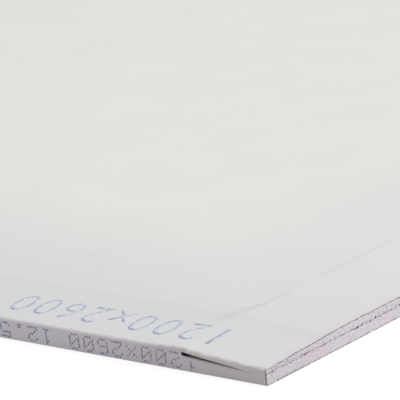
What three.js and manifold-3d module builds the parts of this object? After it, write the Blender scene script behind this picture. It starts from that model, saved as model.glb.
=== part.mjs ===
// A sheet of gypsum plasterboard with all four edges tapered on the finish face.
//
// The sheet is three bonded pieces: a cast gypsum core, a face paper that is wrapped round both long
// edges and folded onto the back, and a back paper glued over those folds.
// Millimetres, +Z up. X runs along the sheet and Y across it. The origin is under the middle of the
// sheet, which lies on its back paper with its finish face up.

import * as THREE from "three";
import { mergeVertices } from "three/addons/utils/BufferGeometryUtils.js";
import Module from "manifold-3d";

const wasm = await Module();
wasm.setup();

// Sheet
const length = 2600;
const width = 1200;
const thickness = 12.5;

// Papers: the face paper's folds reach foldWidth in from each long edge, and the back paper stops
// backPaperSetback short of that edge. Beside it each fold steps down, so that the strip of it that
// stays in sight lies level with the back paper.
const paperThickness = 0.375;
const foldWidth = 28;
const backPaperSetback = 7;
const foldStepWidth = 1.5;

// Long edges, tapered and rounded as the board is formed in its paper.
const edgeTaperWidth = 40;
const edgeTaperDepth = 2.25;
const faceArrisRadius = 1.5;
const backArrisRadius = 0.6;
const arcSteps = 10;

// Short ends, tapered after the board is cut to length. A saw enters each end and rises a little
// on its way in, so the layer above the kerf is thinnest at the crease where it is bent down. Its
// outer strip is glued.
const endTaperLength = 49;
const endTaperDrop = 3;
const kerfTipHeight = 5.35;
const kerfInnerFloorHeight = 7.45;
const kerfInnerOpening = 1.4;
const gluedStripLength = 11.5;

const halfLength = length / 2;
const halfWidth = width / 2;
const creaseX = halfLength - endTaperLength;
const taperAngle = Math.atan(edgeTaperDepth / edgeTaperWidth);
const foldStepAngle = Math.atan(paperThickness / foldStepWidth);

// Cross-section -------------------------------------------------------------------------------

// One long edge of the wrapped surface, from the end of the fold on the back, out round the edge
// and up the taper to the flat of the face. inset is the depth below the paper's outer surface,
// measured square to it, so that inset 0 is the paper's outside and paperThickness its bonded side.
function edgeOutline(inset) {
  const side = halfWidth - inset;
  const stepY = halfWidth - backPaperSetback + inset * Math.tan(foldStepAngle / 2);
  const arrisY = halfWidth - faceArrisRadius;
  const slopeAtArris = thickness - edgeTaperDepth + faceArrisRadius * Math.tan(taperAngle);
  const arrisZ = slopeAtArris - faceArrisRadius / Math.cos(taperAngle);

  const outline = new THREE.Path();
  outline.moveTo(halfWidth - foldWidth, paperThickness + inset);
  outline.lineTo(stepY, paperThickness + inset);
  outline.lineTo(stepY + foldStepWidth, inset);
  outline.lineTo(halfWidth - backArrisRadius, inset);
  outline.absarc(
    halfWidth - backArrisRadius,
    backArrisRadius,
    backArrisRadius - inset,
    -Math.PI / 2,
    0,
  );
  outline.lineTo(side, arrisZ);
  outline.absarc(arrisY, arrisZ, faceArrisRadius - inset, 0, Math.PI / 2 - taperAngle);
  outline.lineTo(
    halfWidth - edgeTaperWidth - inset * Math.tan(taperAngle / 2),
    thickness - inset,
  );
  return outline.getPoints(arcSteps);
}

// The wrapped surface from fold to fold: one edge, across the face, and the other edge mirrored.
function wrapOutline(inset) {
  const edge = edgeOutline(inset);
  const mirrored = edge.map((point) => new THREE.Vector2(-point.x, point.y));
  return [...edge, ...mirrored.reverse()];
}

// Solids --------------------------------------------------------------------------------------

function toManifold(geometry) {
  const bare = geometry.clone();
  bare.deleteAttribute("normal");
  bare.deleteAttribute("uv");
  const merged = mergeVertices(bare);
  const mesh = new wasm.Mesh({
    numProp: 3,
    vertProperties: new Float32Array(merged.getAttribute("position").array),
    triVerts: new Uint32Array(merged.getIndex().array),
  });
  return new wasm.Manifold(mesh);
}

function toGeometry(manifold) {
  const mesh = manifold.getMesh();
  const geometry = new THREE.BufferGeometry();
  geometry.setAttribute("position", new THREE.BufferAttribute(mesh.vertProperties, 3));
  geometry.setIndex(new THREE.BufferAttribute(mesh.triVerts, 1));
  geometry.computeVertexNormals();
  return geometry;
}

// Runs a cross-section along the sheet, with a row of points at each end and at each crease.
function runAlongSheet(outline) {
  const stations = [-halfLength, -creaseX, creaseX, halfLength];
  const steps = stations.length - 1;
  const section = new THREE.Shape(outline);
  const geometry = new THREE.ExtrudeGeometry(section, { depth: steps, steps, bevelEnabled: false });
  const position = geometry.getAttribute("position");
  for (let i = 0; i < position.count; i += 1) {
    const station = stations[Math.round(position.getZ(i))];
    position.setXYZ(i, station, position.getX(i), position.getY(i));
  }
  return geometry;
}

// Bends the end layers down: past a crease, what lies above the kerf sinks evenly towards the end.
function pressEnds(geometry) {
  const position = geometry.getAttribute("position");
  for (let i = 0; i < position.count; i += 1) {
    const pastCrease = Math.max(Math.abs(position.getX(i)) - creaseX, 0);
    if (position.getZ(i) > kerfTipHeight) {
      position.setZ(i, position.getZ(i) - (endTaperDrop * pastCrease) / endTaperLength);
    }
  }
  return geometry;
}

// What is left open of the two kerfs once their layers are glued down: a wedge across the whole
// sheet, blunt where the blade stopped and closing to nothing at the glued strip.
function openKerfs() {
  const tipX = halfLength - gluedStripLength;
  const overrun = 10;
  const wedge = new THREE.Shape();
  wedge.moveTo(creaseX, kerfInnerFloorHeight);
  wedge.lineTo(tipX, kerfTipHeight);
  wedge.lineTo(creaseX, kerfInnerFloorHeight + kerfInnerOpening);
  wedge.closePath();
  const cut = new THREE.ExtrudeGeometry(wedge, { depth: width + 2 * overrun, bevelEnabled: false });
  cut.rotateX(Math.PI / 2);
  cut.translate(0, halfWidth + overrun, 0);
  const oneEnd = toManifold(cut);
  cut.rotateZ(Math.PI);
  return oneEnd.add(toManifold(cut));
}

const kerfs = openKerfs();

// Gypsum core: it fills the wrap, and its back steps up at each fold to make room for the paper.
function gypsumCore() {
  const foldEdge = halfWidth - foldWidth;
  const backStep = [
    new THREE.Vector2(-foldEdge, paperThickness),
    new THREE.Vector2(foldEdge, paperThickness),
  ];
  const outline = [...wrapOutline(paperThickness), ...backStep];
  return toManifold(pressEnds(runAlongSheet(outline))).subtract(kerfs);
}

// Face paper: one sheet of constant thickness round the face, both long edges and the two folds.
function facePaper() {
  const outline = [...wrapOutline(0), ...wrapOutline(paperThickness).reverse()];
  return toManifold(pressEnds(runAlongSheet(outline))).subtract(kerfs);
}

// Back paper: a flat sheet over the core's back and over the inner part of each fold.
function backPaper() {
  const backPaperWidth = width - 2 * backPaperSetback;
  const sheet = new THREE.BoxGeometry(length, backPaperWidth, paperThickness);
  sheet.translate(0, 0, paperThickness / 2);
  return sheet;
}

// Assembly ------------------------------------------------------------------------------------

const finishes = {
  gypsumCore: { color: 0xd3cad0, roughness: 0.95, metalness: 0 },
  facePaper: { color: 0xe0e0da, roughness: 0.85, metalness: 0 },
  backPaper: { color: 0xb3aa9d, roughness: 0.9, metalness: 0 },
};

function piece(name, geometry, finish) {
  const mesh = new THREE.Mesh(geometry, new THREE.MeshStandardMaterial(finish));
  mesh.name = name;
  return mesh;
}

const sheet = new THREE.Group();
sheet.add(
  piece("gypsum_core", toGeometry(gypsumCore()), finishes.gypsumCore),
  piece("face_paper", toGeometry(facePaper()), finishes.facePaper),
  piece("back_paper", backPaper(), finishes.backPaper),
);

export default sheet;
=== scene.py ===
import random
from math import cos, exp, pi, radians

import bpy
from mathutils import Matrix, Vector, noise


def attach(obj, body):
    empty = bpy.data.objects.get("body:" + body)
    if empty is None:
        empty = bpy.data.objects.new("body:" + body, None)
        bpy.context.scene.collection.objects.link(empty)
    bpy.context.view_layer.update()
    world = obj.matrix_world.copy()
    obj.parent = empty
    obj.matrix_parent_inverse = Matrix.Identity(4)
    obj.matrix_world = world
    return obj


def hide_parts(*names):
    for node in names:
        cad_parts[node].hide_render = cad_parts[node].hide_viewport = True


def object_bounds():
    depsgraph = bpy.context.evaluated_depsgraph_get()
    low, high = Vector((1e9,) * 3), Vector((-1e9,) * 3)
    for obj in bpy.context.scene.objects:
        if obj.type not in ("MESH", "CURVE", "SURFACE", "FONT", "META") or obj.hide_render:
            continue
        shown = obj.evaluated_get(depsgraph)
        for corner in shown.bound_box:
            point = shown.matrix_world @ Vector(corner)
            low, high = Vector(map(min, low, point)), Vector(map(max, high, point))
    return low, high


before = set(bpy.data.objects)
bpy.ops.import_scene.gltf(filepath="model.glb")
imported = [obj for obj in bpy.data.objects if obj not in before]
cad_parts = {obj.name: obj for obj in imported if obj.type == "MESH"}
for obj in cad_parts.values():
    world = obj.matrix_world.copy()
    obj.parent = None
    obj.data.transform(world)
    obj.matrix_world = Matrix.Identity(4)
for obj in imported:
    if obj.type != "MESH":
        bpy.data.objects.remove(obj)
cad_low, cad_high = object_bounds()
bpy.ops.object.select_all(action="DESELECT")

# Camera --------------------------------------------------------------------------------------
# A long lens 1.35 m from one corner of the sheet, low over the finish face and turned a little
# about its own axis.
CAMERA_PLACE = (2.1409, -1.5518, 0.4614)
CAMERA_TURN = radians(42.35)
CAMERA_DOWN = radians(16.384)
CAMERA_ROLL = radians(-6.73)
CAMERA_LENS_MM = 277.4
CAMERA_NEAR = 0.05
CAMERA_FAR = 60

bpy.ops.object.camera_add()
camera = bpy.context.object
camera.name = "camera"
camera.data.lens = CAMERA_LENS_MM
camera.data.clip_start = CAMERA_NEAR
camera.data.clip_end = CAMERA_FAR
camera.matrix_world = (
    Matrix.Translation(CAMERA_PLACE)
    @ Matrix.Rotation(CAMERA_TURN, 4, "Z")
    @ Matrix.Rotation(radians(90) - CAMERA_DOWN, 4, "X")
    @ Matrix.Rotation(CAMERA_ROLL, 4, "Z")
)
bpy.context.scene.camera = camera

# Floor ---------------------------------------------------------------------------------------
# A wide plain floor just under the sheet. It sends light back up as a light grey does, and the
# camera sees it as a white sweep. Part of that white is lit, to take the sheet's soft shadow,
# and the rest is given.
FLOOR_WIDTH = 60
FLOOR_DROP = 0.0003
FLOOR_GREY = (0.60, 0.60, 0.61, 1)
FLOOR_LIT = (0.16, 0.16, 0.16, 1)
FLOOR_LIFT = 0.885


def seen_plainly(tree):
    """The output socket that is 1 for what the camera, a gloss or a clear body shows."""
    nodes, links = tree.nodes, tree.links
    path = nodes.new("ShaderNodeLightPath")
    either = nodes.new("ShaderNodeMath")
    either.operation = "MAXIMUM"
    every = nodes.new("ShaderNodeMath")
    every.operation = "MAXIMUM"
    links.new(path.outputs["Is Camera Ray"], either.inputs[0])
    links.new(path.outputs["Is Glossy Ray"], either.inputs[1])
    links.new(either.outputs[0], every.inputs[0])
    links.new(path.outputs["Is Transmission Ray"], every.inputs[1])
    return every.outputs[0]


bpy.ops.mesh.primitive_plane_add(size=FLOOR_WIDTH, location=(0, 0, -FLOOR_DROP))
floor = bpy.context.object
floor.name = "floor"
floor_paint = bpy.data.materials.new("floor_paint")
floor_paint.use_nodes = True
nodes, links = floor_paint.node_tree.nodes, floor_paint.node_tree.links
nodes.clear()
bounced = nodes.new("ShaderNodeBsdfDiffuse")
bounced.inputs["Color"].default_value = FLOOR_GREY
shown = nodes.new("ShaderNodeBsdfDiffuse")
shown.inputs["Color"].default_value = FLOOR_LIT
lift = nodes.new("ShaderNodeEmission")
lift.inputs["Strength"].default_value = FLOOR_LIFT
lifted = nodes.new("ShaderNodeAddShader")
choice = nodes.new("ShaderNodeMixShader")
output = nodes.new("ShaderNodeOutputMaterial")
links.new(shown.outputs["BSDF"], lifted.inputs[0])
links.new(lift.outputs["Emission"], lifted.inputs[1])
links.new(seen_plainly(floor_paint.node_tree), choice.inputs["Fac"])
links.new(bounced.outputs["BSDF"], choice.inputs[1])
links.new(lifted.outputs["Shader"], choice.inputs[2])
links.new(choice.outputs["Shader"], output.inputs["Surface"])
floor.data.materials.append(floor_paint)

# Studio light --------------------------------------------------------------------------------
# A broad softbox far beyond the cut end, a smaller one over the face near it, and an even
# surround. The long side towards the camera stays in their shade. The surround shows as white.
SURROUND_STRENGTH = 0.50
SURROUND_SHOWN = 1.0
WHITE = (1, 1, 1, 1)
SOFTBOXES = (
    {
        "name": "key",
        "place": (9.9, 3.7, 11.2),
        "aim": (0.6, 0.0, 0.0),
        "side": 6.5,
        "watts": 1050,
    },
    {
        "name": "face_fill",
        "place": (1.2, -0.2, 1.5),
        "aim": (1.2, -0.2, 0.0),
        "side": 1.2,
        "watts": 2.6,
    },
)

studio = bpy.data.worlds.new("studio")
bpy.context.scene.world = studio
studio.use_nodes = True
nodes, links = studio.node_tree.nodes, studio.node_tree.links
lighting = nodes["Background"]
lighting.inputs["Color"].default_value = WHITE
lighting.inputs["Strength"].default_value = SURROUND_STRENGTH
backdrop = nodes.new("ShaderNodeBackground")
backdrop.inputs["Color"].default_value = WHITE
backdrop.inputs["Strength"].default_value = SURROUND_SHOWN
choice = nodes.new("ShaderNodeMixShader")
links.new(seen_plainly(studio.node_tree), choice.inputs["Fac"])
links.new(lighting.outputs["Background"], choice.inputs[1])
links.new(backdrop.outputs["Background"], choice.inputs[2])
links.new(choice.outputs["Shader"], nodes["World Output"].inputs["Surface"])

for box in SOFTBOXES:
    bpy.ops.object.light_add(type="AREA", location=box["place"])
    lamp = bpy.context.object
    lamp.name = box["name"]
    lamp.data.shape = "SQUARE"
    lamp.data.size = box["side"]
    lamp.data.energy = box["watts"]
    line = Vector(box["aim"]) - Vector(box["place"])
    lamp.rotation_euler = line.to_track_quat("-Z", "Y").to_euler()

bpy.context.scene.view_settings.view_transform = "Standard"

# Gypsum core ---------------------------------------------------------------------------------
# One casting of foamed gypsum, pinkish white inside. Both ends are sawn, so they show grain,
# open pores, crumbled edges, and a broken line where the layer over the kerf was glued down.
# The inside of the open kerf is painted with shade, darkest at its deep end, and the sawn ends'
# pores and deeper pits are painted with their shade.
MM = 0.001
END_X = cad_high.x
SIDE_Y = cad_high.y
THICK = cad_high.z
PAPER = 0.375 * MM
EDGE_TAPER = 40 * MM
EDGE_DROP = 2.25 * MM
END_TAPER = 49 * MM
END_DROP = 3.0 * MM
KERF_TIP = 11.5 * MM
KERF_TIP_FLOOR = 5.35 * MM
KERF_DEEP_FLOOR = 7.45 * MM
SEAM_HEIGHT = 5.2 * MM

# How the end layer lies after pressing. The cross lines that let it bend are in millimetres.
ARRIS_SWELL = 0.25 * MM
SWELL_STOPS = (44 * MM, 50 * MM)
PUCKER = 0.85 * MM
PUCKER_RISES = (42 * MM, 50 * MM)
PUCKER_FALLS = (47 * MM, 72 * MM)
SWELL_INWARD = (5 * MM, 10 * MM)
SWELL_DOWN = (0.4 * MM, 1.5 * MM)
END_DIP = 0.45 * MM
END_DIP_PLACE = 37 * MM
END_DIP_REACH = 15 * MM
END_DIP_LENGTH = 34 * MM
PRESSED_LAYER = (5.5 * MM, 7.5 * MM)
LINES_FROM_END = (5, 12, 20, 28, 35, 42, 44, 46, 48, 52, 56, 61, 66, 72)
LINES_FROM_SIDE = (3, 5, 6.5, 8, 10, 16, 22, 27, 31, 34, 37, 43, 47, 52)

# How the ends are sawn. A height or depth given as a pair is a range.
WELD = 0.001 * MM
FLAT_ANGLE = radians(0.05)
SAW_OVERRUN = 4 * MM
SAW_OVERHANG = 1 * MM
CORNER_CROWDING = 0.45
CORE_SAWN = (0.2 * MM, 9.5 * MM)
CORE_COLUMNS = 1600
CORE_ROWS = 25
CORE_SMOOTH = radians(35)

# The saw's relief on the core, all in millimetres. A cell is the size of a noise's grains, as
# their width and height where there are two. A void in the glue is given by its distance from
# the long side, its height and its depth.
CORE_SETBACK = 0.08
GRAIN_CELL = (0.9, 0.7)
GRAIN_MEAN = 0.04
GRAIN_SWING = 0.03
WANDER_CELL = (6, 3)
WANDER_SWING = 0.04
PORE_SPACING = 2.9
PORE_SIZE = 0.14
PORE_SIZE_GAIN = 0.01
PORE_DEPTH = 0.5
SEAM_SWAY = 0.45
SEAM_LONG_CELL = 9
SEAM_SHORT_CELL = 0.9
SEAM_LONG_SHARE = 0.5
SEAM_OPENNESS = 0.2
SEAM_LEAST = 0.16
SEAM_SWING = 0.45
SEAM_REACH = 0.32
CRUMB_CELL = (2.3, 2)
CRUMB_DEPTH = 0.3
CRUMB_REACH = 0.3
VOID_AREA = 0.2
GLUE_VOIDS = (
    (18.9, 5.4, 0.5),
    (27.5, 5.4, 0.7),
    (65.8, 5.1, 1.2),
    (69.0, 5.2, 0.6),
    (75.8, 5.4, 0.6),
    (79.6, 5.6, 1.1),
)

# The core's tones. A share is how much of a tone shows where it is strongest. A pattern, such
# as CORE_PATCHES, is its noise cells a metre, their detail, and the noise values at which it
# starts and is full.
CORE_ROSE = (0.855, 0.78, 0.83, 1)
CORE_ASH = (0.82, 0.79, 0.825, 1)
CORE_PATCHES = (110, 3.0, 0.38, 0.62)
CORE_SHADE = (0.56, 0.515, 0.555, 1)
SIDE_SHADED = (15 * MM, 60 * MM)
SIDE_SHADE_SHARE = 0.22
SPECKLED_ZONE = (SEAM_HEIGHT - 0.5 * MM, SEAM_HEIGHT + 1 * MM)
SPECKLE_BELOW = 0.6
SPECKLES = (1000, 2.0, 0.53, 0.63)
SEAM_BROWN = (0.30, 0.25, 0.27, 1)
SEAM_MIDDLE = SEAM_HEIGHT + 0.2 * MM
SEAM_SPREAD = (0.3 * MM, 1.2 * MM)
SEAM_SHARE = 0.9
SEAM_SPECKLES = (1100, 2.0, 0.53, 0.62)
# Painted shade: pores, and the sawn ends' pits deeper than the pit depth, darken to this colour.
PAINTED_PORE_SHADE = (0.10, 0.075, 0.08, 1)
PINHOLES_A_METRE = 430.0
PINHOLE_EDGE = (0.08, 0.20)
PINHOLE_SHARE = 0.6
SHADED_PIT_DEPTH = (0.20 * MM, 0.60 * MM)
# Painted shade inside the open kerf, deepest where the blade ended.
KERF_SHADE = (0.50, 0.44, 0.43, 1)
KERF_DEEP_SHADE = (0.10, 0.08, 0.08, 1)
KERF_ENTRY = (4 * MM, KERF_TIP)
KERF_BLADE_END = (END_TAPER - 5 * MM, END_TAPER - 2 * MM)
CRYSTALS_A_METRE = 2600


def face_height(x, y):
    """The height of the paper's outer face over a place on the sheet, arrises left out."""
    across = max(abs(y) - (SIDE_Y - EDGE_TAPER), 0) / EDGE_TAPER
    along = max(abs(x) - (END_X - END_TAPER), 0) / END_TAPER
    return THICK - EDGE_DROP * across - END_DROP * along


def eased(value, start, end):
    """Rises smoothly from 0 at start to 1 at end."""
    share = min(max((value - start) / (end - start), 0), 1)
    return share * share * (3 - 2 * share)


def uneven_press(x, y, z):
    """How far a point of the end layer lies above where an even press would have put it.

    The wrapped arris stands a little proud and puckers up where it bends at the crease, and the
    layer was pressed deeper at the sheet's end beside the long taper.
    """
    from_end, from_side = END_X - abs(x), SIDE_Y - abs(y)
    below_face = face_height(x, y) - z
    proud = ARRIS_SWELL * (1 - eased(from_end, *SWELL_STOPS))
    pucker = eased(from_end, *PUCKER_RISES) - eased(from_end, *PUCKER_FALLS)
    proud += PUCKER * max(pucker, 0)
    proud *= (1 - eased(from_side, *SWELL_INWARD)) * (1 - eased(below_face, *SWELL_DOWN))
    dip = 1 - eased(abs(from_side - END_DIP_PLACE), 0, END_DIP_REACH)
    dip *= (1 - eased(from_end, 0, END_DIP_LENGTH)) * eased(z, *PRESSED_LAYER)
    return proud - END_DIP * dip


def select_only(piece):
    bpy.ops.object.select_all(action="DESELECT")
    piece.select_set(True)
    bpy.context.view_layer.objects.active = piece


def edit_whole(piece):
    """Goes into edit mode on one piece, with all of its mesh selected."""
    select_only(piece)
    bpy.ops.object.mode_set(mode="EDIT")
    bpy.ops.mesh.select_all(action="SELECT")


def leave_edit():
    bpy.ops.object.mode_set(mode="OBJECT")


def copy_of_solid(node, name, finish):
    """A free copy of a CAD solid, its points joined, its flat faces whole, its shading its own."""
    solid = bpy.data.objects[node]
    piece = solid.copy()
    piece.data = solid.data.copy()
    piece.name = name
    piece.parent = None
    piece.data.materials.clear()
    piece.data.materials.append(finish)
    bpy.context.collection.objects.link(piece)
    edit_whole(piece)
    bpy.ops.mesh.remove_doubles(threshold=WELD)
    bpy.ops.mesh.dissolve_limited(angle_limit=FLAT_ANGLE)
    leave_edit()
    bpy.ops.mesh.customdata_custom_splitnormals_clear()
    return piece


def press_ends(piece):
    """Gives the end layers cross lines to bend along, and presses them unevenly."""
    edit_whole(piece)
    for lines, edge, axis in (
        (LINES_FROM_END, END_X, (1, 0, 0)),
        (LINES_FROM_SIDE, SIDE_Y, (0, 1, 0)),
    ):
        for line in lines:
            for side in (1, -1):
                at = Vector(axis) * side * (edge - line * MM)
                bpy.ops.mesh.select_all(action="SELECT")
                bpy.ops.mesh.bisect(plane_co=at, plane_no=axis, threshold=WELD)
    leave_edit()
    for point in piece.data.vertices:
        point.co.z += uneven_press(*point.co)


def cut_away(piece, cutter):
    """Takes a closed block out of a piece, and then the block itself out of the scene."""
    select_only(piece)
    cut = piece.modifiers.new("cut", "BOOLEAN")
    cut.operation = "DIFFERENCE"
    cut.solver = "MANIFOLD"
    cut.object = cutter
    bpy.ops.object.modifier_apply(modifier=cut.name)
    bpy.data.objects.remove(cutter)


def saw_ends(piece, heights, columns, rows, depth_at):
    """Trims both ends with a block whose inner face carries the saw's relief.

    heights are those between which the block cuts, and depth_at(y, z, end) gives how deep it
    goes in from the end of the sheet. Its columns crowd towards the corners. Piece and block
    are both made of triangles first, because a cut across a larger face leaves slivers.
    """
    low, high = heights
    for end in (1, -1):
        bpy.ops.object.select_all(action="DESELECT")
        bpy.ops.mesh.primitive_grid_add(x_subdivisions=columns, y_subdivisions=rows, size=1)
        block = bpy.context.object
        block.data.materials.append(piece.data.materials[0])
        upright = Matrix(
            (
                (0, 0, end, end * END_X),
                (2 * (SIDE_Y + SAW_OVERHANG), 0, 0, 0),
                (0, high - low, 0, (high + low) / 2),
                (0, 0, 0, 1),
            )
        )
        block.data.transform(upright)
        for point in block.data.vertices:
            out = abs(point.co.y) / SIDE_Y
            point.co.y *= CORNER_CROWDING + (1 - CORNER_CROWDING) * (2 - min(out, 1))
        edit_whole(block)
        outward = (end * SAW_OVERRUN, 0, 0)
        bpy.ops.mesh.extrude_region_move(TRANSFORM_OT_translate={"value": outward})
        leave_edit()
        for point in block.data.vertices:
            if abs(point.co.x) < END_X + SAW_OVERRUN / 2:
                point.co.x = end * (END_X - depth_at(point.co.y, point.co.z, end))
        edit_whole(block)
        bpy.ops.mesh.quads_convert_to_tris(quad_method="FIXED")
        bpy.ops.mesh.normals_make_consistent(inside=False)
        leave_edit()
        edit_whole(piece)
        bpy.ops.mesh.quads_convert_to_tris()
        leave_edit()
        cut_away(piece, block)
        edit_whole(piece)
        bpy.ops.mesh.remove_doubles(threshold=WELD)
        leave_edit()


def end_noise(across, up, cell, lot):
    """Noise over a sawn end. A lot of its own keeps each pattern apart from the others."""
    return noise.noise((across / cell[0], up / cell[1], lot))


def core_relief(y, z, end):
    """How deep the sawn core lies behind the sheet's end: grain, pores, glue line and crumbs."""
    across, up = y / MM, z / MM
    lot = 20.0 * end
    grain = GRAIN_SWING * end_noise(across, up, GRAIN_CELL, lot)
    wander = WANDER_SWING * end_noise(across, up, WANDER_CELL, lot + 1)
    sway = SEAM_SWAY * noise.noise((across / SEAM_LONG_CELL, lot, 3))
    seam_height = SEAM_HEIGHT / MM + sway
    above_seam = min(max(up - seam_height, 0), 1)
    pore_gap = noise.voronoi((across / PORE_SPACING, up / PORE_SPACING, lot + 2))[0][0]
    pore_size = PORE_SIZE + PORE_SIZE_GAIN * above_seam
    pore = PORE_DEPTH * max(0, 1 - pore_gap / pore_size) ** 0.5
    short_gap = noise.noise((across / SEAM_SHORT_CELL, lot, 4))
    long_gap = noise.noise((across / SEAM_LONG_CELL, lot, 5))
    seam_open = SEAM_OPENNESS + short_gap + SEAM_LONG_SHARE * long_gap
    seam = SEAM_LEAST + SEAM_SWING * min(max(seam_open, 0), 1)
    seam *= exp(-(((up - seam_height) / SEAM_REACH) ** 2))
    void = 0.0
    for void_across, void_up, deep in GLUE_VOIDS:
        gap = (across + end * (SIDE_Y / MM - void_across)) ** 2 + (up - void_up) ** 2
        void = max(void, deep * exp(-gap / VOID_AREA))
    under_paper = (face_height(END_X, y) - PAPER) / MM - up
    over_paper = up - PAPER / MM
    loose = max(0, end_noise(across, up, CRUMB_CELL, lot + 6))
    at_papers = exp(-under_paper / CRUMB_REACH) + exp(-over_paper / CRUMB_REACH)
    crumbs = CRUMB_DEPTH * loose * at_papers
    rough = max(0, GRAIN_MEAN + grain + wander)
    return (CORE_SETBACK + rough + max(pore, seam, void) + crumbs) * MM


def new_group(name, inputs, outputs):
    """An empty shader node group with the named sockets, as (name, socket type) pairs."""
    group = bpy.data.node_groups.new(name, "ShaderNodeTree")
    for socket, kind in inputs:
        group.interface.new_socket(name=socket, in_out="INPUT", socket_type=kind)
    for socket, kind in outputs:
        group.interface.new_socket(name=socket, in_out="OUTPUT", socket_type=kind)
    return group, group.nodes.new("NodeGroupInput"), group.nodes.new("NodeGroupOutput")


def new_node(tree, kind, sockets=None, **settings):
    """Adds a node; sockets gives input values or the output sockets that feed them."""
    node = tree.nodes.new(kind)
    for name, value in settings.items():
        setattr(node, name, value)
    for name, value in (sockets or {}).items():
        if isinstance(value, bpy.types.NodeSocket):
            tree.links.new(value, node.inputs[name])
        else:
            node.inputs[name].default_value = value
    return node


def placed_group(tree, group, sockets):
    """The outputs of a node group placed in a material."""
    return new_node(tree, "ShaderNodeGroup", sockets, node_tree=group).outputs


def maths(tree, operation, first, second=0.0, third=None):
    """The output socket of a Math node."""
    sockets = {0: first, 1: second}
    if third is not None:
        sockets[2] = third
    return new_node(tree, "ShaderNodeMath", sockets, operation=operation).outputs[0]


def times(tree, first, second):
    return maths(tree, "MULTIPLY", first, second)


def minus(tree, first, second):
    return maths(tree, "SUBTRACT", first, second)


def inward_from(tree, edge, value):
    """How far a place lies in from the nearer of two opposite edges of the sheet."""
    return minus(tree, edge, maths(tree, "ABSOLUTE", value))


def gap_to(tree, value, mark):
    """How far a value lies from a mark, to either side."""
    return maths(tree, "ABSOLUTE", minus(tree, value, mark))


def between(tree, value, start, end, low=0.0, high=1.0, rise="SMOOTHSTEP"):
    """A value that goes from low at start to high at end, eased unless rise is LINEAR."""
    sockets = {"Value": value, "From Min": start, "From Max": end, "To Min": low, "To Max": high}
    return new_node(tree, "ShaderNodeMapRange", sockets, interpolation_type=rise).outputs["Result"]


def colour_mix(tree, share, first, second):
    """The output socket of a Mix node, whose colours go in at 6 and 7 and come out at 2."""
    node = new_node(tree, "ShaderNodeMix", {0: share, 6: first, 7: second}, data_type="RGBA")
    return node.outputs[2]


def cloudy(tree, where, scale, detail=3.0, roughness=0.6):
    """The value of a Noise node at a place, in noise cells for each metre."""
    sockets = {"Vector": where, "Scale": scale, "Detail": detail, "Roughness": roughness}
    return new_node(tree, "ShaderNodeTexNoise", sockets).outputs["Fac"]


def swaying(tree, where, scale, detail, roughness=0.6):
    """The value of a Noise node, brought to sway to either side of nothing."""
    return minus(tree, cloudy(tree, where, scale, detail, roughness), 0.5)


def patterned(tree, where, pattern, low=0.0, high=1.0):
    """A named pattern at a place: low where it doesn't show, and high where it is full."""
    scale, detail, start, end = pattern
    return between(tree, cloudy(tree, where, scale, detail), start, end, low, high)


def roughened(tree, shader, height, strength, distance):
    """Bumps a material's shader by a height."""
    sockets = {"Height": height, "Strength": strength, "Distance": distance}
    bump = new_node(tree, "ShaderNodeBump", sockets)
    tree.links.new(bump.outputs["Normal"], shader.inputs["Normal"])


def finish_with(name, roughness, specular):
    """A material with its Principled shader, and the piece's own place and facing."""
    paint = bpy.data.materials.new(name)
    paint.use_nodes = True
    tree = paint.node_tree
    shader = tree.nodes["Principled BSDF"]
    shader.inputs["Roughness"].default_value = roughness
    shader.inputs["Specular IOR Level"].default_value = specular
    where = new_node(tree, "ShaderNodeTexCoord").outputs
    parts = new_node(tree, "ShaderNodeSeparateXYZ", {0: where["Object"]})
    return paint, tree, shader, where["Object"], where["Normal"], parts.outputs


core_finish, tree, shader, place, _, (x, y, z) = finish_with(
    "cast_gypsum", roughness=0.95, specular=0.15
)
behind_end = inward_from(tree, END_X, x)
from_side = inward_from(tree, SIDE_Y, y)
patches = patterned(tree, place, CORE_PATCHES)
body_colour = colour_mix(tree, patches, CORE_ROSE, CORE_ASH)
shaded = between(tree, from_side, *SIDE_SHADED, SIDE_SHADE_SHARE, 0.0)
body_colour = colour_mix(tree, shaded, body_colour, CORE_SHADE)
over_seam = between(tree, z, *SPECKLED_ZONE, SPECKLE_BELOW, 1.0)
speckle = patterned(tree, place, SPECKLES)
body_colour = colour_mix(tree, times(tree, speckle, over_seam), body_colour, CORE_SHADE)
near_seam = between(tree, gap_to(tree, z, SEAM_MIDDLE), *SEAM_SPREAD, SEAM_SHARE, 0.0)
seam_speck = patterned(tree, place, SEAM_SPECKLES)
body_colour = colour_mix(tree, times(tree, near_seam, seam_speck), body_colour, SEAM_BROWN)
# Painted shade: pinholes above the seam and the deeper pits of the sawn ends take the pore colour
# as their shade.
bubble = new_node(tree, "ShaderNodeTexVoronoi", {"Vector": place, "Scale": PINHOLES_A_METRE})
pinhole_shade = between(tree, bubble.outputs["Distance"], *PINHOLE_EDGE, 1.0, 0.0)
pinhole_shade = times(tree, pinhole_shade, times(tree, over_seam, PINHOLE_SHARE))
body_colour = colour_mix(tree, pinhole_shade, body_colour, PAINTED_PORE_SHADE)
body_colour = colour_mix(tree, between(tree, behind_end, *SHADED_PIT_DEPTH), body_colour, PAINTED_PORE_SHADE)
# Painted shade inside the open kerf, darkest at its deep end.
deepest_shade = between(tree, behind_end, *KERF_BLADE_END)
kerf_shade = colour_mix(tree, deepest_shade, KERF_SHADE, KERF_DEEP_SHADE)
body_colour = colour_mix(tree, between(tree, behind_end, *KERF_ENTRY), body_colour, kerf_shade)
tree.links.new(body_colour, shader.inputs["Base Color"])
crystals = cloudy(tree, place, CRYSTALS_A_METRE, 4.0, 0.7)
roughened(tree, shader, crystals, strength=0.4, distance=0.12 * MM)

sawn_core = copy_of_solid("gypsum_core", "sawn_core", core_finish)
press_ends(sawn_core)
saw_ends(sawn_core, CORE_SAWN, CORE_COLUMNS, CORE_ROWS, core_relief)
bpy.ops.object.shade_smooth_by_angle(angle=CORE_SMOOTH)
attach(sawn_core, "root")
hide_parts("gypsum_core")

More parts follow.
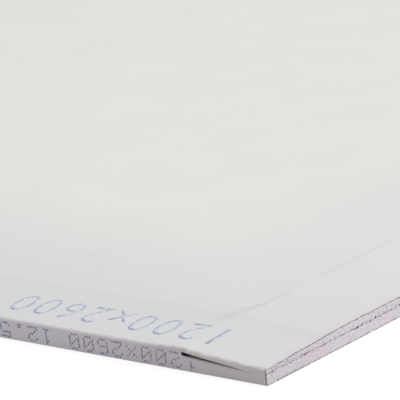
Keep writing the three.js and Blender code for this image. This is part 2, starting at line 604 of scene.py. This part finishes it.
# Face paper ----------------------------------------------------------------------------------
# One sheet of multi-ply liner, off-white outside, wrapped round both long edges. Its sawn edge
# is brown and frayed, the saw also tore small bites from it along the kerf, and it is creased
# where the end layer bends down.
KERF_OPEN = 1.4 * MM
LIP_STEP = 0.55 * MM
BLADE_BURST = 0.35 * MM
BURST_SHARE = 0.28
LIP_CUTTER_REACH = 2 * PAPER
INK_ROOM = 0.03 * MM
PAPER_SAWN = (-0.5 * MM, 9.9 * MM)
PAPER_COLUMNS = 2200
PAPER_ROWS = 30
PAPER_SMOOTH = radians(30)
SIDE_FACING = cos(radians(2))

# The saw's relief on the papers, and the bites from the kerf's lips where the kerf is deepest,
# all in millimetres. A bite's rate is in noise cells a step.
PAPER_SETBACK = 0.01
FRAY_CELL = (0.8, 0.8)
FRAY = 0.30
NICK_CELL = (2.5, 4)
NICK = 1.3
NICK_THRESHOLD = 0.2
LIP_LEAST = 0.03
LOWER_BITE = 0.25
LOWER_BITE_RATE = 0.71
UPPER_BITE = 0.16
UPPER_BITE_RATE = 0.83
BITES_NARROW = 0.8

# The face's tones, with painted shade towards its edges, and the faint line where the long taper
# starts.
FACE_WHITE = (0.825, 0.826, 0.788, 1)
FACE_COOL_SHADED = (0.764, 0.765, 0.782, 1)
COOL_SHADED_BORDER = (55 * MM, 235 * MM)
BORDER_BAYS_A_METRE = 7
BORDER_WANDER = 90 * MM
FACE_SHADE = (0.685, 0.685, 0.70, 1)
FACE_SHADE_REACH = 170 * MM
FACE_SHADE_SHARE = 0.6
FACE_DULL = (0.74, 0.735, 0.70, 1)
MOTTLE_SHARE = 0.22
FIBRE_BAND = (0.42, 0.64)
FIBRE_SHARE = 0.22
FLECK_SHARE = 0.12
FOLD_STAIN = (0.64, 0.64, 0.645, 1)
FOLD_STAIN_REACH = (0.5 * MM, 6 * MM)
FOLD_STAIN_SHARE = 0.26
FOLD_BLOTCHES = (30, 4.0, 0.35, 0.60)
FOLD_BLOTCH_LEAST = 0.5

# The painted shade in the end crease's shallow dent.
FLECK_AND_CREASE_SHADE = (0.36, 0.345, 0.34, 1)
CREASE_JOINS = (40 * MM, 62 * MM)
CREASE_STRAY = END_TAPER + 5 * MM
CREASE_LINE = END_TAPER - 0.3 * MM
CREASE_RAGS_A_METRE = 230
CREASE_RAGGED = 7 * MM
CREASE_NARROWS = (42 * MM, 60 * MM)
CREASE_WIDE = 6.5 * MM
CREASE_NARROW = 3.4 * MM
CREASE_FADES = (0.05, 1.0)
CREASE_SHADE_STARTS = (28 * MM, 38 * MM)
SHADE_RUN_RATE = 81.6
SHADE_RUN_PHASE = 44.6
SHADE_RUN_RAGGED = 1.5
SHADE_RUN_BAND = (-1.05, 0.0)
SHADE_DRIFTS = (0.17, 0.30)
SHADE_DRIFTS_A_METRE = 5
SHADE_DRIFT = 20.0
HEAVIEST_PLACE = 54 * MM
HEAVIEST_REACH = (2 * MM, 10 * MM)
HEAVIEST_SHARE = 0.20
CREASE_SHADE_SHARE = 0.105

# The long side, the flap over the kerf, the kerf's frayed lips with painted shade, and the dark
# line at the corner.
SIDE_GREY = (0.775, 0.75, 0.80, 1)
SIDE_PINK = (0.795, 0.725, 0.775, 1)
SIDE_PATCHES = (55, 2.0, 0.45, 0.68)
SIDE_HANDLED = (0.71, 0.657, 0.69, 1)
HANDLED_REACH = (20 * MM, 150 * MM)
ROUND_ARRIS = (0.15 * MM, 1.5 * MM)
FLAP_BEIGE = (0.78, 0.74, 0.70, 1)
FLAP_SHARE = 0.7
FLAP_DEPTH = 1.0 * MM
FLAP_DEEP_END = (END_TAPER - 4 * MM, END_TAPER)
FLAP_TIP = (8 * MM, 20 * MM)
SHADE_AND_FRAY_BROWN = (0.26, 0.235, 0.22, 1)
LIP_SHADE_BELOW = (-0.9 * MM, -0.05 * MM)
LIP_SHADE_ABOVE = (0.1 * MM, 0.5 * MM)
LIP_FRAY_AND_SHADE_SHARE = 0.55
LIP_SHADE_TIP = (3 * MM, 26 * MM)
LIP_SHADE_DEEP_END = (END_TAPER - 5 * MM, END_TAPER)
CORNER_TONGUES_A_METRE = 700
CORNER_DARK_REACH = 1.3 * MM
CORNER_DARK_EDGE = (-0.1 * MM, 0.25 * MM)

# The darker arris.
ARRIS_DARK = (0.42, 0.39, 0.38, 1)
ARRIS_DARK_PLACE = 0.9 * MM
ARRIS_DARK_REACH = (0.2 * MM, 1.2 * MM)
ARRIS_DARK_SHARE = 0.45
ARRIS_SPOTS = (320, 3.0, 0.40, 0.60)
ARRIS_SPOT_LEAST = 0.15
PRESSED_PART = (END_TAPER - 2 * MM, END_TAPER + 4 * MM)
BEYOND_PRESSED = 0.5
TOP_OF_SIDE = (1.0 * MM, 2.2 * MM)

# The sawn edge, and what the saw did to the paper beside it.
EDGE_BROWN = (0.20, 0.175, 0.17, 1)
EDGE_LIGHT = (0.58, 0.54, 0.535, 1)
OUTER_PLY = (0.66, 0.64, 0.625, 1)
INNER_PLIES = (620, 2.0, 0.50, 0.66)
PLY_SWAYS_A_METRE = 700
PLY_SWAY = 0.5 * MM
OUTER_PLY_DEPTH = (0.01 * MM, 0.07 * MM)
SAWN_FACING = (0.35, 0.6)
SAWN_DEPTH = (0.8 * MM, 1.2 * MM)
DUST_HEIGHT = (0.8 * MM, 1.1 * MM)
DUST_SHARE = 0.6
DUST_INWARD = (0.6 * MM, 1.2 * MM)
RUBBED_PINK = (0.72, 0.53, 0.51, 1)
RUBBED_REACH = (1 * MM, 6 * MM)
RUBBED_SHARE = 0.14
BARED_PLY = (0.40, 0.34, 0.33, 1)
TEARS = (260, 3.0, 0.35, 0.65)
TORN_BACK = 0.55 * MM
BARED_EDGE = (-0.2 * MM, 0.2 * MM)
BARED_SHARE = 0.6
BARED_INWARD = (0.5 * MM, 1.5 * MM)


def paper_relief(y, z, end):
    """How far the frayed paper edge lies behind the sheet's end."""
    across, up = y / MM, z / MM
    lot = 50.0 * end
    fray = FRAY * abs(end_noise(across, up, FRAY_CELL, lot))
    nick = NICK * max(0, end_noise(across, up, NICK_CELL, lot + 1) - NICK_THRESHOLD)
    return (PAPER_SETBACK + fray + nick) * MM


def tear_kerf_lips(piece):
    """Widens the kerf's mouth in the wrapped paper by a ragged outline, on both long sides."""
    deep = END_X - END_TAPER
    reach = END_TAPER - KERF_TIP
    steps = int(reach / LIP_STEP)
    for end in (1, -1):
        for side in (1, -1):
            lot = 7.0 * end + 3.0 * side
            bpy.ops.object.select_all(action="DESELECT")
            bpy.ops.mesh.primitive_grid_add(x_subdivisions=steps, y_subdivisions=1, size=1)
            cutter = bpy.context.object
            cutter.data.materials.append(piece.data.materials[0])
            for point in cutter.data.vertices:
                share = point.co.x + 0.5
                step = round(share * steps)
                floor_here = KERF_DEEP_FLOOR + (KERF_TIP_FLOOR - KERF_DEEP_FLOOR) * share
                scale = (1 - BITES_NARROW * share) * MM
                if point.co.y < 0:
                    tooth = max(0, noise.noise((step * LOWER_BITE_RATE, lot, 0)))
                    bite = LIP_LEAST + LOWER_BITE * tooth
                    point.co.z = floor_here - bite * scale
                else:
                    tooth = max(0, noise.noise((step * UPPER_BITE_RATE, lot, 4)))
                    bite = LIP_LEAST + UPPER_BITE * tooth
                    burst = BLADE_BURST * (1 - eased(share, 0, BURST_SHARE))
                    roof_here = floor_here + KERF_OPEN * (1 - share)
                    point.co.z = roof_here + bite * scale + burst
                point.co.x = end * (deep + share * reach)
                point.co.y = side * (SIDE_Y - LIP_CUTTER_REACH)
            edit_whole(cutter)
            outward = (0, side * 2 * LIP_CUTTER_REACH, 0)
            bpy.ops.mesh.extrude_region_move(TRANSFORM_OT_translate={"value": outward})
            bpy.ops.mesh.select_all(action="SELECT")
            bpy.ops.mesh.normals_make_consistent(inside=False)
            leave_edit()
            cut_away(piece, cutter)


# The paper's surface: soft mottling, and fibres that lie mostly along the sheet.
MOTTLES = (24, 4.0, 0.3, 0.7)
FIBRES_A_METRE = 1400.0
FLECKS_A_METRE = 330.0
FLECK_BAND = (0.70, 0.76)
DRAWN_OUT = (0.22, 1, 1)
paper_surface, given, given_out = new_group(
    "paper_surface",
    (("Place", "NodeSocketVector"), ("Coarseness", "NodeSocketFloat")),
    (("Mottle", "NodeSocketFloat"), ("Fibre", "NodeSocketFloat"), ("Fleck", "NodeSocketFloat")),
)
anywhere = given.outputs["Place"]
along_sheet = new_node(
    paper_surface, "ShaderNodeMapping", {"Vector": anywhere, "Scale": DRAWN_OUT}
).outputs[0]
fibre_scale = maths(paper_surface, "DIVIDE", FIBRES_A_METRE, given.outputs["Coarseness"])
fleck_scale = maths(paper_surface, "DIVIDE", FLECKS_A_METRE, given.outputs["Coarseness"])
mottle = patterned(paper_surface, anywhere, MOTTLES)
fibre = cloudy(paper_surface, along_sheet, fibre_scale, 4.0, 0.7)
fleck = cloudy(paper_surface, along_sheet, fleck_scale, 2.0, 0.5)
paper_surface.links.new(mottle, given_out.inputs["Mottle"])
paper_surface.links.new(fibre, given_out.inputs["Fibre"])
paper_surface.links.new(between(paper_surface, fleck, *FLECK_BAND), given_out.inputs["Fleck"])

# A sawn paper edge: grey-brown inner plies and a pale outer one, on the faces that the saw left.
sawn_edge, given, given_out = new_group(
    "sawn_edge",
    (
        ("Place", "NodeSocketVector"),
        ("Facing", "NodeSocketVector"),
        ("Behind End", "NodeSocketFloat"),
        ("Depth", "NodeSocketFloat"),
    ),
    (("Mask", "NodeSocketFloat"), ("Colour", "NodeSocketColor")),
)
anywhere = given.outputs["Place"]
lengthways = new_node(sawn_edge, "ShaderNodeSeparateXYZ", {0: given.outputs["Facing"]}).outputs[0]
turned_out = between(sawn_edge, maths(sawn_edge, "ABSOLUTE", lengthways), *SAWN_FACING)
near_end = between(sawn_edge, given.outputs["Behind End"], *SAWN_DEPTH, 1.0, 0.0)
sawn_edge.links.new(times(sawn_edge, turned_out, near_end), given_out.inputs["Mask"])
plies = patterned(sawn_edge, anywhere, INNER_PLIES)
inner_plies = colour_mix(sawn_edge, plies, EDGE_BROWN, EDGE_LIGHT)
torn = swaying(sawn_edge, anywhere, PLY_SWAYS_A_METRE, 2.0)
ply_end = maths(sawn_edge, "MULTIPLY_ADD", torn, PLY_SWAY, given.outputs["Depth"])
outer = between(sawn_edge, ply_end, *OUTER_PLY_DEPTH, 1.0, 0.0)
ply_colour = colour_mix(sawn_edge, outer, inner_plies, OUTER_PLY)
sawn_edge.links.new(ply_colour, given_out.inputs["Colour"])

# The face is whiter inside, and cooler and darker towards its edges, and darker again towards
# the long side; both darkenings are painted shade.
face_finish, tree, shader, place, facing, (x, y, z) = finish_with(
    "face_liner", roughness=0.82, specular=0.25
)
grain = placed_group(tree, paper_surface, {"Place": place, "Coarseness": 1.0})
from_end = inward_from(tree, END_X, x)
from_side = inward_from(tree, SIDE_Y, y)
border = maths(tree, "MINIMUM", from_end, from_side)
bays = cloudy(tree, place, BORDER_BAYS_A_METRE, 2.0)
border = maths(tree, "MULTIPLY_ADD", bays, BORDER_WANDER, border)
# Painted shade: the face darkens and cools towards its edges.
inner = between(tree, border, *COOL_SHADED_BORDER)
paper_colour = colour_mix(tree, inner, FACE_COOL_SHADED, FACE_WHITE)
# Painted shade: the face darkens towards the long side.
face_shade = between(tree, from_side, 0.0, FACE_SHADE_REACH, FACE_SHADE_SHARE, 0.0)
paper_colour = colour_mix(tree, face_shade, paper_colour, FACE_SHADE)
mottled = times(tree, grain["Mottle"], MOTTLE_SHARE)
paper_colour = colour_mix(tree, mottled, paper_colour, FACE_DULL)
fibrous = between(tree, grain["Fibre"], *FIBRE_BAND, 0.0, FIBRE_SHARE)
paper_colour = colour_mix(tree, fibrous, paper_colour, FACE_DULL)
flecked = times(tree, grain["Fleck"], FLECK_SHARE)
paper_colour = colour_mix(tree, flecked, paper_colour, FLECK_AND_CREASE_SHADE)

# Where the long taper starts, handling leaves a faint soft line.
fold_gap = gap_to(tree, from_side, EDGE_TAPER)
at_fold = between(tree, fold_gap, *FOLD_STAIN_REACH, FOLD_STAIN_SHARE, 0.0)
blotch = patterned(tree, place, FOLD_BLOTCHES, FOLD_BLOTCH_LEAST)
paper_colour = colour_mix(tree, times(tree, at_fold, blotch), paper_colour, FOLD_STAIN)

# The end crease is painted with the shade of its shallow dent, in long runs. Near the long side
# the painted shade strays inwards, and is heaviest where it comes back to the crease.
ragged = swaying(tree, place, CREASE_RAGS_A_METRE, 4.0, 0.7)
crease_place = between(tree, from_side, *CREASE_JOINS, CREASE_STRAY, CREASE_LINE)
crease_place = maths(tree, "MULTIPLY_ADD", ragged, CREASE_RAGGED, crease_place)
crease_gap = gap_to(tree, from_end, crease_place)
crease_spread = between(tree, from_side, *CREASE_NARROWS, CREASE_WIDE, CREASE_NARROW)
crease_gap = maths(tree, "DIVIDE", crease_gap, crease_spread)
crease_shade = between(tree, crease_gap, *CREASE_FADES, 1.0, 0.0)
drift = swaying(tree, place, SHADE_DRIFTS_A_METRE, 1.0)
drift = times(tree, drift, between(tree, from_side, *SHADE_DRIFTS, 0.0, SHADE_DRIFT))
run = maths(tree, "MULTIPLY_ADD", y, SHADE_RUN_RATE, SHADE_RUN_PHASE)
run = maths(tree, "COSINE", maths(tree, "ADD", run, drift))
run = maths(tree, "MULTIPLY_ADD", ragged, SHADE_RUN_RAGGED, run)
run = between(tree, run, *SHADE_RUN_BAND)
run = times(tree, run, between(tree, from_side, *CREASE_SHADE_STARTS))
heaviest = gap_to(tree, from_side, HEAVIEST_PLACE)
crease_shade_share = between(tree, heaviest, *HEAVIEST_REACH, HEAVIEST_SHARE, CREASE_SHADE_SHARE)
crease_shade = times(tree, times(tree, crease_shade, run), crease_shade_share)
# Painted shade: the end crease darkens in runs, in the same grey as the paper's flecks.
paper_colour = colour_mix(tree, crease_shade, paper_colour, FLECK_AND_CREASE_SHADE)

# Down the long side the paper is pinker, and duller near the end where it is handled. It is
# beige on the flap over the kerf, frayed and painted with the kerf's shade along its lips, and
# darker in a thin line at the corner.
side_patches = patterned(tree, place, SIDE_PATCHES)
side_colour = colour_mix(tree, side_patches, SIDE_GREY, SIDE_PINK)
handled = between(tree, from_end, *HANDLED_REACH, 1.0, 0.0)
side_colour = colour_mix(tree, handled, side_colour, SIDE_HANDLED)
kerf_slope = (KERF_DEEP_FLOOR - KERF_TIP_FLOOR) / (END_TAPER - KERF_TIP)
kerf_start = KERF_TIP_FLOOR - kerf_slope * KERF_TIP
kerf_line = maths(tree, "MULTIPLY_ADD", from_end, kerf_slope, kerf_start)
over_lip = minus(tree, z, kerf_line)
flap = times(
    tree,
    between(tree, from_end, *FLAP_DEEP_END, 1.0, 0.0),
    between(tree, from_end, *FLAP_TIP),
)
flap = times(tree, between(tree, over_lip, 0.0, FLAP_DEPTH, 0.0, FLAP_SHARE), flap)
side_colour = colour_mix(tree, flap, side_colour, FLAP_BEIGE)
mouth = between(tree, from_end, KERF_TIP, END_TAPER, 0.0, KERF_OPEN, "LINEAR")
# Fray and painted shade: the paper along the kerf's lips darkens as if with the kerf's shade.
lip_fray_and_shade = times(
    tree,
    between(tree, over_lip, *LIP_SHADE_BELOW, 0.0, LIP_FRAY_AND_SHADE_SHARE),
    between(tree, minus(tree, over_lip, mouth), *LIP_SHADE_ABOVE, 1.0, 0.0),
)
lip_shade_run = times(
    tree,
    between(tree, from_end, *LIP_SHADE_TIP),
    between(tree, from_end, *LIP_SHADE_DEEP_END, 1.0, 0.0),
)
side_colour = colour_mix(tree, times(tree, lip_fray_and_shade, lip_shade_run), side_colour, SHADE_AND_FRAY_BROWN)
# The side is darker in a thin ragged line at the corner.
tongues = cloudy(tree, place, CORNER_TONGUES_A_METRE, 2.0)
corner_dark_reach = times(tree, tongues, CORNER_DARK_REACH)
corner_dark = between(tree, minus(tree, from_end, corner_dark_reach), *CORNER_DARK_EDGE, 1.0, 0.0)
side_colour = colour_mix(tree, corner_dark, side_colour, SHADE_AND_FRAY_BROWN)
on_side = between(tree, from_side, *ROUND_ARRIS, 1.0, 0.0)
paper_colour = colour_mix(tree, on_side, paper_colour, side_colour)

# The arris of the flap is darker where it was pressed down, and less dark beyond it.
across_taper = between(tree, from_side, 0.0, EDGE_TAPER, EDGE_DROP, 0.0, "LINEAR")
along_taper = between(tree, from_end, 0.0, END_TAPER, END_DROP, 0.0, "LINEAR")
face_here = minus(tree, minus(tree, THICK, across_taper), along_taper)
below_face = minus(tree, face_here, z)
arris_gap = gap_to(tree, from_side, ARRIS_DARK_PLACE)
arris_dark = times(
    tree,
    between(tree, arris_gap, *ARRIS_DARK_REACH, ARRIS_DARK_SHARE, 0.0),
    patterned(tree, place, ARRIS_SPOTS, ARRIS_SPOT_LEAST),
)
on_pressed = times(
    tree,
    between(tree, from_end, *PRESSED_PART, 1.0, BEYOND_PRESSED),
    between(tree, below_face, *TOP_OF_SIDE, 1.0, 0.0),
)
paper_colour = colour_mix(tree, times(tree, arris_dark, on_pressed), paper_colour, ARRIS_DARK)

# The saw rubbed the face's last few millimetres, and tore its outer ply back in places. Dust
# from the core clings to the fold's edge on the back.
dip_gap = gap_to(tree, from_side, END_DIP_PLACE)
end_dip = between(tree, dip_gap, 0.0, END_DIP_REACH, END_DIP, 0.0)
ply_depth = minus(tree, maths(tree, "MINIMUM", from_side, below_face), end_dip)
edge = placed_group(
    tree,
    sawn_edge,
    {"Place": place, "Facing": facing, "Behind End": from_end, "Depth": ply_depth},
)
dusted = times(
    tree,
    between(tree, z, *DUST_HEIGHT, DUST_SHARE, 0.0),
    between(tree, from_side, *DUST_INWARD),
)
edge_colour = colour_mix(tree, dusted, edge["Colour"], OUTER_PLY)
rubbed = between(tree, from_end, *RUBBED_REACH, RUBBED_SHARE, 0.0)
paper_colour = colour_mix(tree, rubbed, paper_colour, RUBBED_PINK)
torn_back = patterned(tree, place, TEARS, 0.0, TORN_BACK)
bared = between(tree, minus(tree, from_end, torn_back), *BARED_EDGE, BARED_SHARE, 0.0)
bared = times(tree, bared, between(tree, from_side, *BARED_INWARD))
paper_colour = colour_mix(tree, bared, paper_colour, BARED_PLY)
paper_colour = colour_mix(tree, edge["Mask"], paper_colour, edge_colour)
tree.links.new(paper_colour, shader.inputs["Base Color"])
roughened(tree, shader, grain["Fibre"], strength=0.35, distance=0.05 * MM)

face_liner = copy_of_solid("face_paper", "face_liner", face_finish)
press_ends(face_liner)
for point in face_liner.data.vertices:
    if abs(point.co.y) > SIDE_Y - WELD:
        point.co.y *= 1 - INK_ROOM / SIDE_Y
tear_kerf_lips(face_liner)
saw_ends(face_liner, PAPER_SAWN, PAPER_COLUMNS, PAPER_ROWS, paper_relief)
bpy.ops.object.shade_smooth_by_angle(angle=PAPER_SMOOTH)
for face in face_liner.data.polygons:
    face.use_smooth = abs(face.normal.y) < SIDE_FACING
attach(face_liner, "root")
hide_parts("face_paper")

# Back paper ----------------------------------------------------------------------------------
# A flat sheet of unbleached liner over the back, glued over the face paper's folds.
BACK_GREY = (0.40, 0.365, 0.31, 1)
BACK_BROWN = (0.30, 0.26, 0.21, 1)
BACK_COARSENESS = 1.6
BACK_MOTTLE_SHARE = 0.5
BACK_FIBRE_BAND = (0.35, 0.65)
BACK_FIBRE_SHARE = 0.8
BACK_FLECK_SHARE = 0.6
BACK_PLY_SCALE = 0.5
BACK_SAWN = (-0.5 * MM, 0.9 * MM)
BACK_ROWS = 4

back_finish, tree, shader, place, facing, (x, _, z) = finish_with(
    "back_liner", roughness=0.9, specular=0.2
)
grain = placed_group(tree, paper_surface, {"Place": place, "Coarseness": BACK_COARSENESS})
mottled = times(tree, grain["Mottle"], BACK_MOTTLE_SHARE)
paper_colour = colour_mix(tree, mottled, BACK_GREY, BACK_BROWN)
fibrous = between(tree, grain["Fibre"], *BACK_FIBRE_BAND, 0.0, BACK_FIBRE_SHARE)
paper_colour = colour_mix(tree, fibrous, paper_colour, BACK_BROWN)
flecked = times(tree, grain["Fleck"], BACK_FLECK_SHARE)
paper_colour = colour_mix(tree, flecked, paper_colour, EDGE_BROWN)
from_end = inward_from(tree, END_X, x)
ply_depth = times(tree, z, BACK_PLY_SCALE)
edge = placed_group(
    tree,
    sawn_edge,
    {"Place": place, "Facing": facing, "Behind End": from_end, "Depth": ply_depth},
)
paper_colour = colour_mix(tree, edge["Mask"], paper_colour, edge["Colour"])
tree.links.new(paper_colour, shader.inputs["Base Color"])
roughened(tree, shader, grain["Fibre"], strength=0.5, distance=0.08 * MM)

back_liner = copy_of_solid("back_paper", "back_liner", back_finish)
saw_ends(back_liner, BACK_SAWN, PAPER_COLUMNS, BACK_ROWS, paper_relief)
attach(back_liner, "root")
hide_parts("back_paper")

# Size imprint on the face --------------------------------------------------------------------
# The sheet's width and length in plain numerals, in thin pale blue ink on the tapered edge. It
# reads from the far side of the sheet, and its first numeral runs over the end crease.
FACE_DIGITS = "1200x2600"
FACE_DIGIT_HEIGHT = 17.5 * MM
FACE_DIGIT_SPACING = 1.17
FACE_PRINT_START = 36 * MM
FACE_PRINT_FOOT = 27.5 * MM
STROKE_THINNING = 0.010
OUTLINE_WELD = 0.0001
INK_FILM = 0.02 * MM
INK_BLUE = (0.47, 0.53, 0.67, 1)
INK_PALE = (0.68, 0.72, 0.81, 1)
INK_COVERAGE = (420, 3.0, 0.36, 0.66)

ink_finish, tree, shader, place, *_ = finish_with("blue_ink", roughness=0.8, specular=0.2)
coverage = patterned(tree, place, INK_COVERAGE)
tree.links.new(colour_mix(tree, coverage, INK_BLUE, INK_PALE), shader.inputs["Base Color"])

bpy.ops.object.select_all(action="DESELECT")
bpy.ops.object.text_add()
face_print = bpy.context.object
face_print.name = "face_size_imprint"
face_print.data.body = FACE_DIGITS
face_print.data.offset = -STROKE_THINNING
face_print.data.space_character = FACE_DIGIT_SPACING
bpy.ops.object.convert(target="MESH")
edit_whole(face_print)
bpy.ops.mesh.remove_doubles(threshold=OUTLINE_WELD)
leave_edit()
grow = FACE_DIGIT_HEIGHT / max(point.co.y for point in face_print.data.vertices)
turned_over = Matrix(
    (
        (-grow, 0, 0, END_X - FACE_PRINT_START),
        (0, -grow, 0, -SIDE_Y + FACE_PRINT_FOOT),
        (0, 0, 1, 0),
        (0, 0, 0, 1),
    )
)
face_print.data.transform(turned_over)
edit_whole(face_print)
bpy.ops.mesh.bisect(plane_co=(END_X - END_TAPER, 0, 0), plane_no=(1, 0, 0))
bpy.ops.mesh.select_all(action="SELECT")
bpy.ops.mesh.extrude_region_move(TRANSFORM_OT_translate={"value": (0, 0, 2 * INK_FILM)})
bpy.ops.mesh.select_all(action="SELECT")
bpy.ops.mesh.normals_make_consistent(inside=False)
leave_edit()
for point in face_print.data.vertices:
    point.co.z += face_height(point.co.x, point.co.y) - INK_FILM
face_print.data.materials.append(ink_finish)
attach(face_print, "root")

# Size imprint on the long side ---------------------------------------------------------------
# The same sizes and the thickness, shot on by a dot-matrix ink jet while the boards ran past,
# nearly as tall as the side. Each dot is a flat drop of violet-black ink that bled at its rim.
SIDE_DIGITS = "1200x2600 12.5  1200x2600 12.5"
SIDE_PRINT_START = 41 * MM
SIDE_PRINT_TOP = 1.45 * MM
COLUMN_STEP = 1.35 * MM
ROW_STEP = 1.12 * MM
DIGIT_STEP = 8.9 * MM
DROP_RADIUS = 0.64 * MM
DROP_RIM = 0.27 * MM
DROP_SIDES = 8
DROP_SCATTER = 0.06
DROP_SIZES = (0.8, 1.1)
DROP_SEED = 12
DROP_FACING = -0.9
MOUTH_INNER_END = END_TAPER + 1 * MM
MOUTH_LOW = KERF_TIP_FLOOR + 0.4 * MM
DOT_ROWS = {
    "0": ("01110", "10001", "10011", "10101", "11001", "10001", "01110"),
    "1": ("00100", "01100", "00100", "00100", "00100", "00100", "01110"),
    "2": ("01110", "10001", "00001", "00110", "01000", "10000", "11111"),
    "5": ("11111", "10000", "11110", "00001", "00001", "10001", "01110"),
    "6": ("01110", "10000", "10000", "11110", "10001", "10001", "01110"),
    "x": ("00000", "10001", "01010", "00100", "01010", "10001", "00000"),
    ".": ("00000", "00000", "00000", "00000", "00000", "01100", "01100"),
    " ": (),
}
INK_VIOLET = (0.135, 0.125, 0.20, 1)
INK_BLED = (0.60, 0.59, 0.72, 1)
BLEEDS_AT_RIM = 3
BLEED_BAND = (0.15, 0.85)
FADED_SPOTS = (600, 2.0, 0.45, 0.75)
FADED_SHARE = 0.4

jet_finish, tree, shader, place, *_ = finish_with("violet_ink", roughness=0.7, specular=0.3)
bled = new_node(tree, "ShaderNodeAttribute", attribute_name="bled").outputs["Fac"]
faded = patterned(tree, place, FADED_SPOTS, 0.0, FADED_SHARE)
ink_share = between(tree, maths(tree, "ADD", bled, faded), *BLEED_BAND)
tree.links.new(colour_mix(tree, ink_share, INK_VIOLET, INK_BLED), shader.inputs["Base Color"])

bpy.ops.object.select_all(action="DESELECT")
bpy.ops.mesh.primitive_cylinder_add(
    vertices=DROP_SIDES, radius=DROP_RADIUS, depth=INK_FILM, rotation=(pi / 2, 0, 0)
)
drop = bpy.context.object
drop.name = "ink_drop"
bpy.ops.object.transform_apply(location=True, rotation=True, scale=True)
bpy.ops.object.mode_set(mode="EDIT")
bpy.ops.mesh.select_all(action="DESELECT")
leave_edit()
for face in drop.data.polygons:
    face.select = face.normal.y < DROP_FACING
bpy.ops.object.mode_set(mode="EDIT")
bpy.ops.mesh.select_mode(type="FACE")
bpy.ops.mesh.inset(thickness=DROP_RIM, depth=INK_FILM / 2)
leave_edit()
rim = drop.data.attributes.new("bled", "FLOAT", "POINT")
for point in drop.data.vertices:
    outward = min(point.co.xz.length / DROP_RADIUS, 1)
    rim.data[point.index].value = outward**BLEEDS_AT_RIM

draw = random.Random(DROP_SEED)
drops = []
for index, digit in enumerate(SIDE_DIGITS):
    for row, dots in enumerate(DOT_ROWS[digit]):
        for column, dot in enumerate(dots):
            from_corner = SIDE_PRINT_START + index * DIGIT_STEP + column * COLUMN_STEP
            up = SIDE_PRINT_TOP + row * ROW_STEP
            at_mouth = from_corner < MOUTH_INNER_END and up > MOUTH_LOW
            if dot == "0" or at_mouth:
                continue
            along = END_X - from_corner + draw.gauss(0, DROP_SCATTER) * MM
            high = up + draw.gauss(0, DROP_SCATTER) * MM
            landed = Matrix.Translation((along, INK_ROOM - SIDE_Y, high))
            one = drop.copy()
            one.data = drop.data.copy()
            one.data.transform(landed @ Matrix.Scale(draw.uniform(*DROP_SIZES), 4))
            bpy.context.collection.objects.link(one)
            drops.append(one)
bpy.data.objects.remove(drop)
bpy.ops.object.select_all(action="DESELECT")
for one in drops:
    one.select_set(True)
bpy.context.view_layer.objects.active = drops[0]
bpy.ops.object.join()
side_print = bpy.context.object
side_print.name = "side_size_imprint"
side_print.data.materials.append(jet_finish)
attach(side_print, "root")
